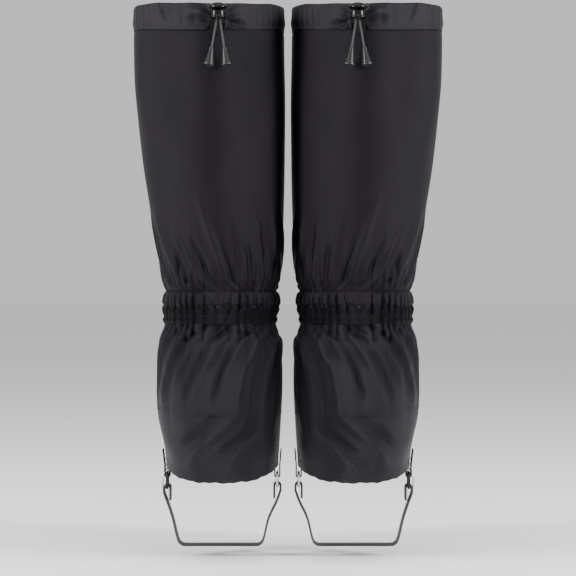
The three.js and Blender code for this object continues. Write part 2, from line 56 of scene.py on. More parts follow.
# ---- the leg's surface (mm)
# height, half width, half depth, centre x, centre y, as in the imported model
SECTIONS = np.array([
    (78, 53.2, 88.5, 1.6, 32), (90, 54, 88, 1.5, 31),
    (107, 55.6, 86, 1.2, 28), (143, 59.2, 76, 0, 19),
    (167, 60.4, 72, -0.7, 15), (190, 60.2, 67.5, -0.6, 11.5),
    (214, 58, 62, -0.2, 8), (230, 52.4, 54, 0, 4),
    (245, 52.3, 53.6, 0.6, 3), (260, 52.7, 53.5, 1.2, 2),
    (272, 56, 56, 0.7, 1), (310, 61, 59, -0.3, -1),
    (349, 64.8, 61, -3.1, -2), (426, 70.6, 66, -8, -2),
    (505, 72, 66, -10.2, 0), (534, 72, 66, -10.4, 0),
])
HEM_LINE = 505.0
TOP_EDGE = 534.0
TOP_DIP = 4.0
BAND_LOW, BAND_HIGH = 230.0, 260.0
KICK_SEAM = 143.0
BOOT_HEM = 90.0
HEEL_DIP, INSTEP_DIP = 9.0, 4.0
SEAM_RISE = 6.5  # of the hem's lower edge at the leg's sides
SLIT = 6.0  # half the front opening, degrees
LOCK_ANGLE, CORD_HEIGHT = 189.2, 519.5  # where the drawcord comes out of the hem


def section(z):
    """Half width, half depth and centre of the leg at each height, with a smooth run between."""
    z = np.asarray(z, float)
    heights = SECTIONS[:, 0]
    values = SECTIONS[:, 1:]
    step = np.diff(heights)[:, None]
    slope = np.diff(values, axis=0) / step
    tangent = np.zeros_like(values)
    same = slope[:-1] * slope[1:] > 0
    both = np.where(same, 2 * slope[:-1] * slope[1:] / np.where(same, slope[:-1] + slope[1:], 1), 0)
    tangent[1:-1] = both
    tangent[0], tangent[-1] = slope[0], slope[-1]
    i = np.clip(np.searchsorted(heights, z) - 1, 0, len(heights) - 2)
    h = step[i, 0]
    t = ((z - heights[i]) / h)[..., None]
    h = h[..., None]
    a, b = values[i], values[i + 1]
    ta, tb = tangent[i] * h, tangent[i + 1] * h
    t2, t3 = t * t, t * t * t
    return (2 * t3 - 3 * t2 + 1) * a + (t3 - 2 * t2 + t) * ta + (3 * t2 - 2 * t3) * b + (t3 - t2) * tb


def outline(angle, z, offset):
    """The left leg's x and y at an angle and a height, in mm."""
    s = section(z)
    t = np.radians(angle)
    return s[..., 2] - (s[..., 0] + offset) * np.sin(t), s[..., 3] + (s[..., 1] + offset) * np.cos(t)


def on_leg(side, angle, z, offset=0.0):
    """Points in metres at an angle from the front (degrees, towards the outer side)."""
    angle, z, offset = np.broadcast_arrays(np.asarray(angle, float), z, offset)
    x, y = outline(angle, z, offset)
    x = x - LEG_X if side == "left" else LEG_X - x
    return np.stack([x, y, z], -1) * MM


def local(side, x, y, z):
    """A point given in the left gaiter's own frame, in mm, as a point of the row in metres."""
    return Vector(((x - LEG_X) if side == "left" else (LEG_X - x), y, z)) * MM


def rear_y(x, z, offset):
    a, b, cx, cy = section(z)
    return cy - (b + offset) * math.sqrt(1 - ((x - cx) / (a + offset)) ** 2)


def boot_hem(angle):
    t = np.radians(angle)
    dip = np.where(np.cos(t) < 0, HEEL_DIP, INSTEP_DIP)
    return BOOT_HEM - dip * (1 - np.sin(t) ** 4)


def top_edge(angle):
    return TOP_EDGE - TOP_DIP * np.cos(np.radians(angle)) ** 2


def kick_seam(angle):
    return KICK_SEAM + 2.6 * sine(angle, 1)


def sine(angle, count, shift=0.0):
    """A sine with count waves round the leg, shifted by this many radians."""
    return np.sin(np.radians(angle) * count + shift)


def between(low, high, count):
    """Evenly spaced values from low to high, for one pair or for a column of them."""
    return low + (high - low) * np.linspace(0, 1, count)


def smooth(low, high, x):
    """0 below low, 1 above high, and a soft step between."""
    t = np.clip((np.asarray(x, float) - low) / (high - low), 0, 1)
    return t * t * (3 - 2 * t)


# ---- folds and gathers (mm)
def warped(angle, seed):
    """The angle with its spacing made uneven, so that pleats aren't all alike."""
    t = np.radians(angle)
    rng = np.random.RandomState(seed)
    for k in (2, 3, 5, 8, 13):
        t = t + rng.uniform(0.07, 0.16) / k * np.sin(k * np.radians(angle) + rng.uniform(0, 6.28))
    return t


def pleats(angle, count, seed, sharp=0.7):
    """0 in each crease and up to 1 on each crest, with crests of uneven height."""
    t = warped(angle, seed)
    wave = np.abs(np.sin(count * t / 2)) ** sharp
    rng = np.random.RandomState(seed + 100)
    height = 0.75 + 0.25 * sum(
        np.sin(k * t + rng.uniform(0, 6.28)) for k in (3, 7, 11)) / 1.8
    return wave * height


def soft_noise(angle, z, seed, around, along):
    """Slow, seeded undulation, periodic round the leg."""
    rng = np.random.RandomState(seed)
    count = 9
    out = 0
    for _ in range(count):
        k = rng.randint(around[0], around[1] + 1)
        f = rng.uniform(0.3, 1.0) * along
        out = out + np.sin(k * np.radians(angle) + f * 6.28 * z + rng.uniform(0, 6.28))
    return out / count ** 0.5


def ridge(angle, z, start, end, width, height):
    """A fold along a line from start to end, each (angle, z), that fades at both ends."""
    mean = (SECTIONS[:, 1] + SECTIONS[:, 2]) / 2
    px, pz = np.radians(angle) * np.interp(z, SECTIONS[:, 0], mean), z
    r = float(np.interp((start[1] + end[1]) / 2, SECTIONS[:, 0], mean))
    ax, az = math.radians(start[0]) * r, start[1]
    bx, bz = math.radians(end[0]) * r, end[1]
    dx, dz = bx - ax, bz - az
    long = math.hypot(dx, dz)
    along = ((px - ax) * dx + (pz - az) * dz) / long
    across = ((px - ax) * dz - (pz - az) * dx) / long
    t = along / long
    fade = smooth(-0.15, 0.18, t) * (1 - smooth(0.75, 1.15, t))
    return height * np.exp(-((across / width) ** 2)) * fade


def front_mask(angle):
    """Less fold under the front flap, where the cloth lies flat."""
    away = np.abs((np.asarray(angle) + 180) % 360 - 180)
    return 0.15 + 0.85 * smooth(34, 62, away)


def side_mask(angle):
    """Lower folds at the leg's two sides, which the boot stretches."""
    return 1 - 0.62 * np.exp(-((np.cos(np.radians(angle)) / 0.42) ** 2))


def ridges(angle, z, folds):
    return sum(ridge(angle % 360, z, *fold) for fold in folds)


GATHERS = (38, 21)  # count and seed of the ankle's gathers, which run on above and below it
# Folds of the calf above the ankle: angle below, angle and height above, width, depth
CALF_FOLDS = [((below, BAND_HIGH + 2), (above, top), width, height) for below, above, top, width, height in (
    (196, 206, 330, 3.2, 1.5), (187, 189, 312, 2.6, -1.9), (178, 176, 345, 3.6, 1.5), (168, 164, 310, 2.4, -1.8),
    (158, 148, 322, 3.0, 1.7), (147, 140, 300, 2.2, -2.0), (136, 122, 330, 3.6, 1.8), (124, 112, 300, 2.4, -2.2),
    (112, 100, 336, 4.0, 1.6), (101, 96, 300, 2.4, -1.8), (206, 216, 306, 2.4, -2.0), (216, 228, 332, 3.4, 1.6),
    (228, 236, 300, 2.2, -2.0), (239, 250, 330, 3.4, 1.6), (251, 258, 300, 2.4, -2.0), (264, 268, 330, 3.6, 1.5),
)]
# Folds of the boot panel and the kick panel: start, end, width, depth
BOOT_FOLDS = [
    ((188, 228), (184, 150), 4.4, -2.4), ((176, 228), (170, 165), 3.8, 2.0),
    ((196, 228), (193, 172), 3.4, 1.9), ((204, 228), (207, 150), 4.0, 1.6),
    ((212, 226), (222, 118), 5.0, -2.6), ((222, 228), (232, 126), 5.0, 2.0),
    ((166, 228), (158, 160), 3.4, -2.0), ((155, 228), (146, 175), 4.0, 2.0),
    ((144, 228), (134, 170), 3.4, -2.1), ((132, 228), (122, 150), 5.0, 2.1),
    ((120, 228), (114, 165), 3.4, -2.0), ((108, 228), (104, 130), 5.0, 1.8),
    ((236, 228), (242, 118), 4.6, -2.2), ((250, 228), (254, 130), 5.0, 2.0),
    ((264, 228), (266, 140), 4.0, -1.8),
    ((192, 146), (150, 98), 6.0, 3.0), ((178, 145), (146, 118), 4.4, -2.2),
    ((206, 130), (164, 90), 6.0, -2.4), ((222, 138), (186, 92), 7.0, 2.2),
]


def calf_fold(angle, z):
    near = 1 - smooth(258, 300, z)
    wide = 1 - smooth(262, 380, z)
    out = near ** 1.3 * (pleats(angle, *GATHERS, 0.6) - 0.6) * 3.8
    out = out + wide ** 2 * (pleats(angle, 13, 5, 0.9) - 0.5) * 2.6
    out = out + 1.2 * ridges(angle, z, CALF_FOLDS)
    out = out * smooth(257, 268, z) * front_mask(angle)
    calm = soft_noise(angle, z, 11, (1, 4), 0.006) * 0.7 + soft_noise(angle, z, 12, (3, 8), 0.012) * 0.22
    pucker = 1 - smooth(440, 504, z)
    return out + calm * front_mask(angle) * (0.35 + 0.65 * pucker)


def toggle_pucker(angle, z):
    """Creases that fan out from where the drawcord leaves the hem."""
    dx, dz = np.radians(angle - LOCK_ANGLE) * 68.0, z - 516.0
    d = np.hypot(dx, dz)
    turn = np.arctan2(dz, dx)
    fan = np.sin(7 * turn + 0.6) + 0.6 * np.sin(11 * turn + 2.0)
    dent = -3.4 * np.exp(-((dx / 13) ** 2) - ((dz + 8) / 16) ** 2)
    return dent + 1.3 * fan * np.exp(-((d - 15) / 10) ** 2)


def band_fold(angle, z):
    """The ankle tunnel: gathered puffs over the elastic, and a smaller roll down to its lower seam."""
    lean = 4 * sine(angle, 5, 1.0) + 2 * sine(angle, 11)
    shifted = angle + lean * (z - 245) / 30
    crease = pleats(shifted, *GATHERS, 0.5)
    small = pleats(shifted, 83, 23, 0.8)
    t = np.clip((z - 237) / 23, 0, 1)
    puff = np.clip(np.sin(np.pi * t), 0, 1) ** 0.55
    knot = 1.0 + 0.8 * sine(angle, 17, 2.0)
    pinch = np.exp(-(((z - 246 - knot) / 1.8) ** 2)) * (0.4 + 0.6 * pleats(angle, 27, 29, 0.7))
    roll = np.clip(np.sin(np.pi * np.clip((z - 230) / 7.5, 0, 1)), 0, 1)
    out = puff * (crease * 4.2 + small * 0.8 - 1.0) - pinch * 1.7 + roll * (crease * 2.2 - 0.3)
    out = out + (crease - 0.6) * 1.6
    return out * (0.35 + 0.65 * front_mask(angle))


def boot_fold(angle, z):
    near = smooth(170, 231, z)
    wide = smooth(95, 225, z)
    throat = np.exp(-(((z - 223) / 6.5) ** 2))
    out = near ** 2.0 * (pleats(angle, *GATHERS, 0.55) - 0.6) * 4.0
    out = out + throat * (pleats(angle, *GATHERS, 0.5) - 0.75) * 4.2
    out = out + wide * (pleats(angle, 14, 33, 0.9) - 0.5) * 3.4 * smooth(84, 120, z)
    out = out + 1.5 * ridges(angle, z, BOOT_FOLDS)
    hem = smooth(BOOT_HEM - 6, BOOT_HEM + 28, z)
    lumps = soft_noise(angle, z, 44, (2, 7), 0.02) * 0.9
    return (out * (0.35 + 0.65 * hem) + lumps * hem) * front_mask(angle) * side_mask(angle)


# ---- mesh building
def new_object(name, data):
    obj = bpy.data.objects.new(name, data)
    bpy.context.scene.collection.objects.link(obj)
    return obj


def make_mesh(name, points, faces, uvs=None):
    """An object with smooth faces; uvs has a pair for each point."""
    mesh = bpy.data.meshes.new(name)
    mesh.from_pydata([tuple(p) for p in points], [], faces)
    mesh.validate()
    if uvs is not None:
        layer = mesh.uv_layers.new(name="cloth")
        index = np.empty(len(mesh.loops), int)
        mesh.loops.foreach_get("vertex_index", index)
        layer.data.foreach_set("uv", np.asarray(uvs, float)[index].ravel())
    mesh.polygons.foreach_set("use_smooth", [True] * len(mesh.polygons))
    return new_object(name, mesh)


def skin(rings, sides, base=0, closed=False):
    """Faces between rings of points that are numbered one after another from base."""
    faces = []
    for i in range(rings if closed else rings - 1):
        here, after = base + i * sides, base + (i + 1) % rings * sides
        for k in range(sides):
            q = (k + 1) % sides
            faces.append((here + k, here + q, after + q, after + k))
    return faces


def loft(name, rings, flip=False, closed=False, uv=None):
    """A surface over rings[i][k], each a closed profile. Its ends are capped, or meet if closed."""
    rings = np.asarray(rings, float)
    n, m = rings.shape[:2]
    faces = skin(n, m, closed=closed)
    if not closed:
        faces += [tuple(range(m))[::-1], tuple(range((n - 1) * m, n * m))]
    if flip:
        faces = [face[::-1] for face in faces]
    if uv is None:
        around = np.concatenate([[0], np.cumsum(np.linalg.norm(np.diff(rings, axis=0), axis=2).mean(1))])
        loop = np.linalg.norm(np.roll(rings, -1, 1) - rings, axis=2).mean(0)
        across = np.concatenate([[0], np.cumsum(loop)[:-1]])
        uv = np.stack(np.meshgrid(around[:n], across, indexing="ij"), -1).reshape(-1, 2)
    return make_mesh(name, rings.reshape(-1, 3), faces, uv)


def frames_along(points, closed=False):
    """Tangents and two side vectors that don't twist, along a line of points."""
    p = np.asarray(points, float)
    t = np.roll(p, -1, 0) - np.roll(p, 1, 0) if closed else np.gradient(p, axis=0)
    t /= np.linalg.norm(t, axis=1)[:, None]
    up = np.array([0, 0, 1.0]) if abs(t[0][2]) < 0.9 else np.array([0, 1.0, 0])
    n = np.cross(t[0], up)
    n /= np.linalg.norm(n)
    sides = []
    for i in range(len(p)):
        n = n - t[i] * n.dot(t[i])
        n /= np.linalg.norm(n)
        sides.append(n.copy())
    sides = np.array(sides)
    return t, sides, np.cross(t, sides)


def tube(name, points, radius, sides=12, closed=False):
    t, a, b = frames_along(points, closed)
    k = 2 * np.pi * np.arange(sides) / sides
    r = np.broadcast_to(np.asarray(radius, float), (len(points),))
    rings = (np.asarray(points)[:, None] + r[:, None, None] * (
        np.cos(k)[None, :, None] * a[:, None] + np.sin(k)[None, :, None] * b[:, None]))
    return loft(name, rings, closed=closed)


def run_along(points):
    """The distance along a line of points, at each of them."""
    return np.concatenate([[0], np.cumsum(np.linalg.norm(np.diff(points, axis=0), axis=1))])


def catmull(points, count):
    """A smooth line of evenly spaced points through a few chosen ones."""
    p = np.array(points, float)
    p = np.concatenate([[p[0] * 2 - p[1]], p, [p[-1] * 2 - p[-2]]])
    t = np.arange(24)[:, None] / 24
    spans = [0.5 * (2 * b + (c - a) * t + (2 * a - 5 * b + 4 * c - d) * t * t + (3 * b - a - 3 * c + d) * t ** 3)
             for a, b, c, d in zip(p, p[1:], p[2:], p[3:])]
    out = np.concatenate([*spans, p[-2:-1]])
    run = run_along(out)
    even = np.linspace(0, run[-1], count)
    return np.stack([np.interp(even, run, out[:, i]) for i in range(3)], 1)


def turned(name, profile, place, axis=(0, 0, 1), sides=48):
    """A turned piece: profile is (radius, height) in mm from the axis back to the axis."""
    profile = np.array(profile, float)
    k = 2 * np.pi * np.arange(sides) / sides
    ring = [np.stack([r * np.cos(k), r * np.sin(k), np.full(sides, h)], 1) for r, h in profile[1:-1]]
    points = np.concatenate([[(0, 0, profile[0][1])], *ring, [(0, 0, profile[-1][1])]]) * MM
    rows = len(profile) - 2
    faces = skin(rows, sides, 1)
    end, last = len(points) - 1, 1 + (rows - 1) * sides
    for j in range(sides):
        q = (j + 1) % sides
        faces += [(0, 1 + q, 1 + j), (end, last + j, last + q)]
    turn = Vector((0, 0, 1)).rotation_difference(Vector(axis)).to_matrix().to_4x4()
    move = Matrix.Translation(Vector(place)) @ turn
    points = [tuple(move @ Vector(p)) for p in points]
    uv = np.array([[p[0], p[2]] for p in points])
    return make_mesh(name, points, faces, uv)


def rounded(profile, radius=0.35, steps=3):
    """The same profile with its corners cut to small arcs."""
    out = [profile[0]]
    for before, here, after in zip(profile, profile[1:], profile[2:]):
        h = Vector(here)
        a, b = Vector(before) - h, Vector(after) - h
        reach = min(radius, a.length * 0.45, b.length * 0.45)
        a, b = h + a.normalized() * reach, h + b.normalized() * reach
        for i in range(steps + 1):
            t = i / steps
            out.append(tuple((1 - t) ** 2 * a + 2 * t * (1 - t) * h + t * t * b))
    out.append(profile[-1])
    return out


def arc(cx, cy, rx, ry, low, high, count):
    """Points of an ellipse's arc between two angles in degrees."""
    return [(cx + rx * math.cos(math.radians(a)), cy + ry * math.sin(math.radians(a)))
            for a in np.linspace(low, high, count)]


def strip(name, points, across, width, thickness, count):
    """Webbing: a flat band with rounded edges along a line, its width along across."""
    line = catmull(points, count)
    t, _, _ = frames_along(line)
    w = np.asarray(across, float)
    n = np.cross(t, w)
    n /= np.linalg.norm(n, axis=1)[:, None]
    half, thick = width / 2 * MM, thickness / 2 * MM
    edge = arc(half - thick, 0, thick, thick, -90, 90, 7)
    edge += [((half - thick) * (1 - i / 4), thick) for i in range(1, 8)]
    edge = np.array(edge)
    edge = np.concatenate([edge, -edge])
    rings = line[:, None] + edge[None, :, :1] * w + edge[None, :, 1:] * n[:, None]
    return loft(name, rings)


def merge(name, parts):
    """Several scratch objects as one."""
    points, faces, uvs = [], [], []
    for part in parts:
        base = len(points)
        mesh = part.data
        uv = np.zeros((len(mesh.vertices), 2))
        for loop, item in zip(mesh.loops, mesh.uv_layers[0].data):
            uv[loop.vertex_index] = item.uv
        points += [tuple(v.co) for v in mesh.vertices]
        faces += [tuple(base + i for i in p.vertices) for p in mesh.polygons]
        uvs.append(uv)
        bpy.data.objects.remove(part)
        bpy.data.meshes.remove(mesh)
    return make_mesh(name, points, faces, np.concatenate(uvs))


def stitches(name, rows, length=2.5, gap=0.9, radius=0.28):
    """Rows of thread: short raised stitches along each (line of points in metres, outward directions)."""
    points, faces = [], []
    pitch = (length + gap) * MM
    rise = np.array([-0.6, 0.35, 0.5, 0.35, -0.6]) * radius * MM
    size = np.array([0.45, 0.95, 1.0, 0.95, 0.45]) * radius * MM
    for line, normal in rows:
        line, normal = np.asarray(line), np.asarray(normal)
        run = run_along(line)
        for s in np.arange(pitch / 2, run[-1] - pitch / 2, pitch):
            where = s + np.linspace(-0.5, 0.5, 5) * length * MM
            p = np.array([[np.interp(w, run, line[:, i]) for i in range(3)] for w in where])
            n = np.array([np.interp(s, run, normal[:, i]) for i in range(3)])
            n /= np.linalg.norm(n)
            t = p[4] - p[0]
            t /= max(np.linalg.norm(t), 1e-9)
            b = np.cross(t, n)
            base = len(points)
            for q, up, r in zip(p, rise, size):
                for k in range(5):
                    a = 2 * np.pi * k / 5
                    points.append(q + n * (up + r * np.sin(a)) + b * r * np.cos(a))
            faces += skin(5, 5, base)
            faces += [tuple(range(base, base + 5))[::-1], tuple(range(base + 20, base + 25))]
    return make_mesh(name, points, faces, np.zeros((len(points), 2)))


def row_on_leg(side, angles, z, offset):
    """A line of points on the cloth and the outward directions there, for a row of stitches."""
    angles = np.asarray(angles, float)
    z = np.broadcast_to(z, angles.shape)
    offset = np.broadcast_to(offset, angles.shape)
    line = on_leg(side, angles, z, offset)
    out = on_leg(side, angles, z, offset + 1) - line
    return line, out / np.linalg.norm(out, axis=1)[:, None]


# ---- materials
class Shade:
    """The nodes of a material, with short calls that add to them. Lengths are in metres."""

    def __init__(self, mat):
        self.nodes, self.links = mat.node_tree.nodes, mat.node_tree.links
        self.shader = self.nodes["Principled BSDF"]

    def add(self, kind, *sockets, **values):
        """A node, with sockets linked to its first inputs, or numbers set there, and other inputs by name."""
        made = self.nodes.new("ShaderNode" + kind)
        for key, value in [*enumerate(sockets), *values.items()]:
            if isinstance(value, bpy.types.NodeSocket):
                self.links.new(value, made.inputs[key])
            elif value is not None:
                made.inputs[key].default_value = value
        return made

    def maths(self, operation, a, b):
        made = self.add("Math", a, b)
        made.operation = operation
        return made.outputs[0]

    def paint(self, value, low, high, start=0.0, end=1.0):
        """The base colour goes from low to high (linear RGB) as value goes from start to end."""
        made = self.add("ValToRGB", value)
        for element, place, colour in zip(made.color_ramp.elements, (start, end), (low, high)):
            element.position = place
            element.color = (*colour, 1)
        self.links.new(made.outputs[0], self.shader.inputs["Base Color"])

    def uv(self):
        return self.add("SeparateXYZ", self.add("UVMap").outputs[0]).outputs[:2]

    def place(self):
        return self.nodes.new("ShaderNodeTexCoord").outputs["Object"]

    def waves(self, coordinate, pitch):
        turns = self.maths("MULTIPLY", coordinate, 2 * math.pi / pitch)
        return self.maths("SINE", turns, None)

    def plait(self, u, v):
        """Two sets of strands that cross, as on a braided cord."""
        strands = [self.waves(self.maths(way, u, v), 0.0013) for way in ("ADD", "SUBTRACT")]
        plait = self.maths("MAXIMUM", *strands)
        self.paint(plait, (0.016, 0.015, 0.018), (0.07, 0.067, 0.076))
        self.bump(plait, 0.00022)

    def noise(self, scale, detail=4.0, rough=0.5, stretch=None):
        place = self.place()
        if stretch:
            place = self.add("Mapping", place, Scale=stretch).outputs[0]
        return self.add("TexNoise", place, Scale=scale, Detail=detail, Roughness=rough).outputs["Fac"]

    def bump(self, height, distance, strength=1.0, normal=None):
        made = self.add("Bump", Height=height, Distance=distance, Strength=strength, Normal=normal)
        self.links.new(made.outputs[0], self.shader.inputs["Normal"])
        return made.outputs[0]


def material(name, build, roughness=0.6, metallic=0.0, specular=0.5):
    mat = bpy.data.materials.new(name)
    mat.use_nodes = True
    shade = Shade(mat)
    for key, value in (("Roughness", roughness), ("Metallic", metallic), ("Specular IOR Level", specular)):
        shade.shader.inputs[key].default_value = value
    build(shade)
    return mat


def smooth_cloth(low, high, spots, creases, lie, depth, strength):
    """Waterproof face cloth: a fine weave, faint mottling and small creases that lie along the leg."""
    def build(s):
        u, v = s.uv()
        s.paint(s.noise(spots, 5.0, 0.6), low, high, 0.3, 0.7)
        weave = s.maths("MULTIPLY", s.waves(u, 0.0007), s.waves(v, 0.0007))
        s.bump(s.noise(creases, 3.0, 0.55, (1.0, 1.0, lie)), depth, strength, s.bump(weave, 0.00006))
    return build


def twill(pitch, low, high):
    """Coarse diagonal weave: yarns of the given pitch, with a painted highlight that makes them paler on their
    crowns.
    """
    def build(s):
        u, v = s.uv()
        rib = s.waves(s.maths("ADD", u, v), pitch)
        yarn = s.waves(s.maths("SUBTRACT", u, v), pitch * 0.62)
        crown_and_highlight = s.maths("MULTIPLY", s.maths("ADD", rib, 1.0), s.maths("ADD", yarn, 1.6))
        blotch = s.maths("MULTIPLY", s.noise(480.0, 2.0, 0.7), 2.4)
        # painted highlight: the base colour is paler where the yarns' crowns stand up, as if lit there, with
        # random blotches on top
        s.paint(s.maths("MULTIPLY", s.maths("ADD", crown_and_highlight, blotch), 0.2), low, high, 0.05)
        s.bump(s.noise(150.0, 4.0, 0.6), 0.0007, 0.4, s.bump(crown_and_highlight, 0.0003, 0.9))
    return build


def webbing(s):
    u, v = s.uv()
    ribs = s.maths("MULTIPLY", s.waves(u, 0.0014), s.waves(v, 0.0011))
    s.paint(ribs, (0.002, 0.002, 0.0023), (0.008, 0.0078, 0.0085), 0.2, 0.9)
    s.bump(ribs, 0.0002)


def braid(s):
    s.plait(*s.uv())


def free_braid(s):
    """The braid of a cord that is a curve and so has no UV map."""
    x, _, z = s.add("SeparateXYZ", s.place()).outputs
    s.plait(x, z)


def pile(s):
    fuzz = s.noise(1400.0, 2.0, 0.7)
    s.paint(fuzz, (0.004, 0.004, 0.0045), (0.018, 0.018, 0.019), 0.35, 0.7)
    s.bump(fuzz, 0.0006)


def ribbed(s):
    ribs = s.waves(s.uv()[1], 0.0016)
    s.paint(ribs, (0.008, 0.008, 0.009), (0.022, 0.021, 0.024), 0.2, 0.9)
    s.bump(ribs, 0.0003)


def moulded(low, high, grain, depth):
    def build(s):
        s.paint(s.noise(grain, 4.0, 0.6), low, high, 0.3, 0.7)
        s.bump(s.noise(grain * 3, 2.0), depth)
    return build


def plated(low, high):
    def build(s):
        brush = s.noise(900.0, 3.0, 0.6, (1.0, 0.15, 1.0))
        s.paint(brush, low, high, 0.3, 0.75)
        s.bump(brush, 0.00006)
    return build


LAMINATE = material("laminate", smooth_cloth((0.0026, 0.0016, 0.0030), (0.0040, 0.0026, 0.0045),
                                             26.0, 70.0, 0.35, 0.0006, 0.35), 0.42, specular=0.09)
HEM = material("hem_cloth", smooth_cloth((0.0042, 0.0029, 0.0052), (0.0064, 0.0047, 0.0078),
                                         40.0, 110.0, 0.3, 0.0007, 0.45), 0.42, specular=0.14)
# In the twill cloths the high colour is the painted highlight on the yarns' crowns.
BALLISTIC = material("ballistic", twill(0.0023, (0.0001, 0.0001, 0.0001), (0.0175, 0.0145, 0.0220)), 0.4,
                     specular=0.15)
BAND = material("band_cloth", twill(0.0012, (0.0012, 0.0009, 0.0015), (0.0058, 0.0041, 0.0067)), 0.44,
                specular=0.09)
THREAD = material("thread", moulded((0.006, 0.0052, 0.0068), (0.019, 0.0165, 0.021), 2400.0, 0.0001), 0.6,
                  specular=0.2)
WEBBING = material("webbing", webbing, 0.7, specular=0.12)
CORD = material("cord", braid, 0.7)
FREE_CORD = material("free_cord", free_braid, 0.65, specular=0.2)
PILE = material("hook_and_loop", pile, 0.95)
ELASTIC = material("elastic", ribbed, 0.8)
GLOSS = material("gloss_plastic", moulded((0.0015, 0.0015, 0.0018), (0.003, 0.003, 0.0034), 300.0, 0.00001),
                 0.2, specular=0.22)
PULL = material("pull_plastic", moulded((0.007, 0.007, 0.008), (0.014, 0.0135, 0.015), 700.0, 0.00004), 0.34,
                specular=0.3)
STEEL = material("steel", plated((0.32, 0.32, 0.33), (0.6, 0.6, 0.61)), 0.26, 1.0)
BLACK_METAL = material("black_metal", plated((0.012, 0.012, 0.013), (0.03, 0.03, 0.032)), 0.3, 0.9)
STRAP = material("strap", moulded((0.009, 0.009, 0.0095), (0.02, 0.02, 0.021), 900.0, 0.00008), 0.55)


def dress(obj, mat, slot_name, body, *stands_for):
    """Gives a piece its material and the body it moves with, and hides the imported nodes it stands for.
    slot_name is not used.
    """
    obj.data.materials.clear()
    obj.data.materials.append(mat)
    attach(obj, body)
    if stands_for:
        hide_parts(*stands_for)
    return obj


# ---- fabric pieces
MEAN_RADIUS = 62.0  # of the leg, for the weave's scale
AROUND = np.linspace(SLIT, 360 - SLIT, 480)


def folded(name, side, angles, centre, thickness=0.6):
    """Cloth of a real thickness. centre(angle) gives the runs of (heights, offsets) that it follows."""
    a = np.asarray(angles, float)[:, None]
    runs = [np.stack(np.broadcast_arrays(z, offset + 0 * a), -1) for z, offset in centre(a)]
    c = np.concatenate(runs, axis=1)
    t = np.gradient(c, axis=1)
    t /= np.maximum(np.linalg.norm(t, axis=2)[..., None], 1e-9)
    n = np.stack([-t[..., 1], t[..., 0]], -1) * thickness / 2
    loop = np.concatenate([c + n, (c - n)[:, ::-1]], axis=1)
    rings = on_leg(side, a, loop[..., 0], loop[..., 1])
    step = np.linalg.norm(np.diff(c, axis=1), axis=2)
    run = np.concatenate([0 * a, np.cumsum(step, axis=1)], axis=1) + c[:, :1, 0]
    v = np.concatenate([run, run[:, ::-1]], axis=1) * MM
    uv = np.stack([np.radians(a) * MEAN_RADIUS * MM + 0 * v, v], -1)
    return loft(name, rings, flip=side == "right", uv=uv.reshape(-1, 2))


def hem_seam(angle):
    """Height of the hem's lower edge, which rises towards the sides of the leg."""
    return HEM_LINE + SEAM_RISE * sine(angle, 1) ** 2 * front_mask(angle)


def leg_offset(angle, z):
    tuck = 0.9 * (1 - smooth(259, 264, z)) + 0.5 * smooth(-6, 0, z - hem_seam(angle))
    return 0.3 - tuck + calf_fold(angle, z)


def hem_offset(angle, z):
    ring = 0.8 * np.exp(-(((z - CORD_HEIGHT) / 5.5) ** 2))
    ring = ring - 0.5 * np.exp(-(((z - hem_seam(angle) - 2.5) / 2.2) ** 2))
    gather = (pleats(angle, 46, 71, 0.9) - 0.6) * 0.7 * smooth(HEM_LINE, 516, z) * front_mask(angle)
    crease = ridges(angle, z, [((141, 535), (149, 512), 1.6, -1.5)])
    return 0.5 + ring + gather + crease + toggle_pucker(angle, z)


def boot_offset(angle, z):
    return 0.3 - 0.8 * smooth(228, 231, z) + boot_fold(angle, z)


def leg_panel(side):
    low = np.concatenate([np.linspace(BAND_HIGH - 1.4, 300, 34), np.linspace(302, 440, 52)])

    def centre(angle):
        high = between(443, hem_seam(angle) + 0.6, 26)
        return [(low + 0 * angle, leg_offset(angle, low)), (high, leg_offset(angle, high))]
    return folded(side + "_calf_cloth", side, AROUND, centre)


def hem_edge(angle):
    """The rounded corners of the hem's front, and its gently uneven top."""
    return top_edge(angle) + 0.5 * sine(angle, 3, math.radians(40)) + 0.3 * sine(angle, 11)


def top_hem(side):
    def centre(angle):
        top = hem_edge(angle) - 1.6
        low = hem_seam(angle) - 0.4
        out = between(low, top, 30)
        turn = np.linspace(0, np.pi, 9)[1:-1]
        face = hem_offset(angle, top)
        back = between(top, low + 0.2, 14)
        behind = face - 3.2 + 0.5 * np.sin(np.pi * (back - HEM_LINE) / (TOP_EDGE - HEM_LINE))
        over = (top + 1.5 * np.sin(turn), face - 1.6 + 1.6 * np.cos(turn))
        return [(out, hem_offset(angle, out)), over, (back, behind)]
    return folded(side + "_hem_cloth", side, AROUND, centre, 0.7)


def band_offset(angle, z):
    return 1.0 + band_fold(angle, z)


def ankle_band(side):
    def centre(angle):
        out = np.linspace(BAND_LOW - 0.4, BAND_HIGH, 48)
        top = band_offset(angle, BAND_HIGH)
        turn = np.linspace(0, np.pi, 7)[1:-1]
        back = np.linspace(BAND_HIGH - 0.5, BAND_LOW + 0.2, 14)
        behind = -1.8 + 0.3 * sine(angle, 23, back * 0.3)
        over = (BAND_HIGH + 0.9 * np.sin(turn), top - 1.1 + 1.1 * np.cos(turn))
        return [(out, band_offset(angle, out)), over, (back, behind)]
    return folded(side + "_ankle_cloth", side, AROUND, centre, 0.6)


def calf_cloth_over(ankle):
    """The calf's cloth runs on over the tunnel's upper part, down to a scalloped edge."""
    ankle.data.materials.append(LAMINATE)
    for face in ankle.data.polygons:
        around = face.center.x * 900
        edge = 246.5 + 1.6 * math.sin(around * 0.9) + 0.9 * math.sin(around * 2.3 + 1)
        if face.center.z > edge * MM:
            face.material_index = 1


def ankle_elastic(side):
    z = np.linspace(BAND_LOW + 4, BAND_HIGH - 4, 12)
    return folded(side + "_elastic_tape", side, np.linspace(8, 352, 300),
                  lambda a: [(z, 0 * z - 0.6 + 0.2 * sine(a, 30))], 0.7)


